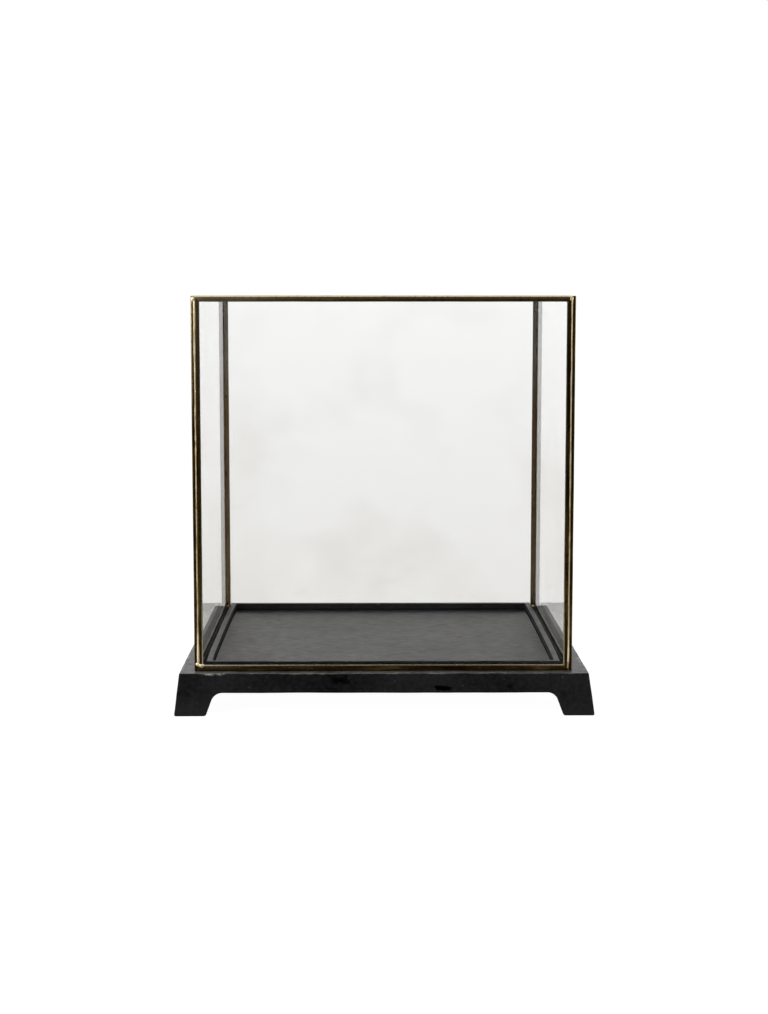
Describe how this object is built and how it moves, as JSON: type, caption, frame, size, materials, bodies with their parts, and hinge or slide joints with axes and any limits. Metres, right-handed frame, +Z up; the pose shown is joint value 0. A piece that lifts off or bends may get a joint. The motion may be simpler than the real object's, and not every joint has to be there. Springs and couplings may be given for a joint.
{
  "type": "glass display box",
  "caption": "Square display box: a clear glass cover edged in soldered brass channel lifts off a black cast base with a tray rim and flared corner feet.",
  "frame": {"origin": "on the table, under the middle of the base", "axes": "+Z up, the front faces -Y, +X is to the right of someone facing the front"},
  "size_m": [0.2998, 0.2998, 0.3007],
  "materials": {
    "black_casting": "satin black over sand-cast metal",
    "clear_glass": "clear float glass",
    "antique_brass": "dark antique patina with rubbed edges",
    "seam_solder": "brushed solder, brass toned"
  },
  "bodies": {
    "base": {"base_casting": "black_casting"},
    "glass_cover": {"back_channel_bottom": "antique_brass", "back_channel_left": "antique_brass", "back_channel_right": "antique_brass", "back_channel_top": "antique_brass", "back_left_seam_solder": "seam_solder", "back_pane": "clear_glass", "back_right_seam_solder": "seam_solder", "front_channel_bottom": "antique_brass", "front_channel_left": "antique_brass", "front_channel_right": "antique_brass", "front_channel_top": "antique_brass", "front_left_seam_solder": "seam_solder", "front_pane": "clear_glass", "front_right_seam_solder": "seam_solder", "left_channel_back": "antique_brass", "left_channel_bottom": "antique_brass", "left_channel_front": "antique_brass", "left_channel_top": "antique_brass", "left_pane": "clear_glass", "lower_corner_solder": "seam_solder", "right_channel_back": "antique_brass", "right_channel_bottom": "antique_brass", "right_channel_front": "antique_brass", "right_channel_top": "antique_brass", "right_pane": "clear_glass", "top_back_seam_solder": "seam_solder", "top_channel_back": "antique_brass", "top_channel_front": "antique_brass", "top_channel_left": "antique_brass", "top_channel_right": "antique_brass", "top_front_seam_solder": "seam_solder", "top_left_seam_solder": "seam_solder", "top_pane": "clear_glass", "top_right_seam_solder": "seam_solder", "upper_corner_solder": "seam_solder"}
  },
  "joints": [
    {"name": "cover_lift", "type": "slide", "parent": "base", "child": "glass_cover", "axis": [0, 0, 1], "range_m": [0, 0.3]}
  ]
}
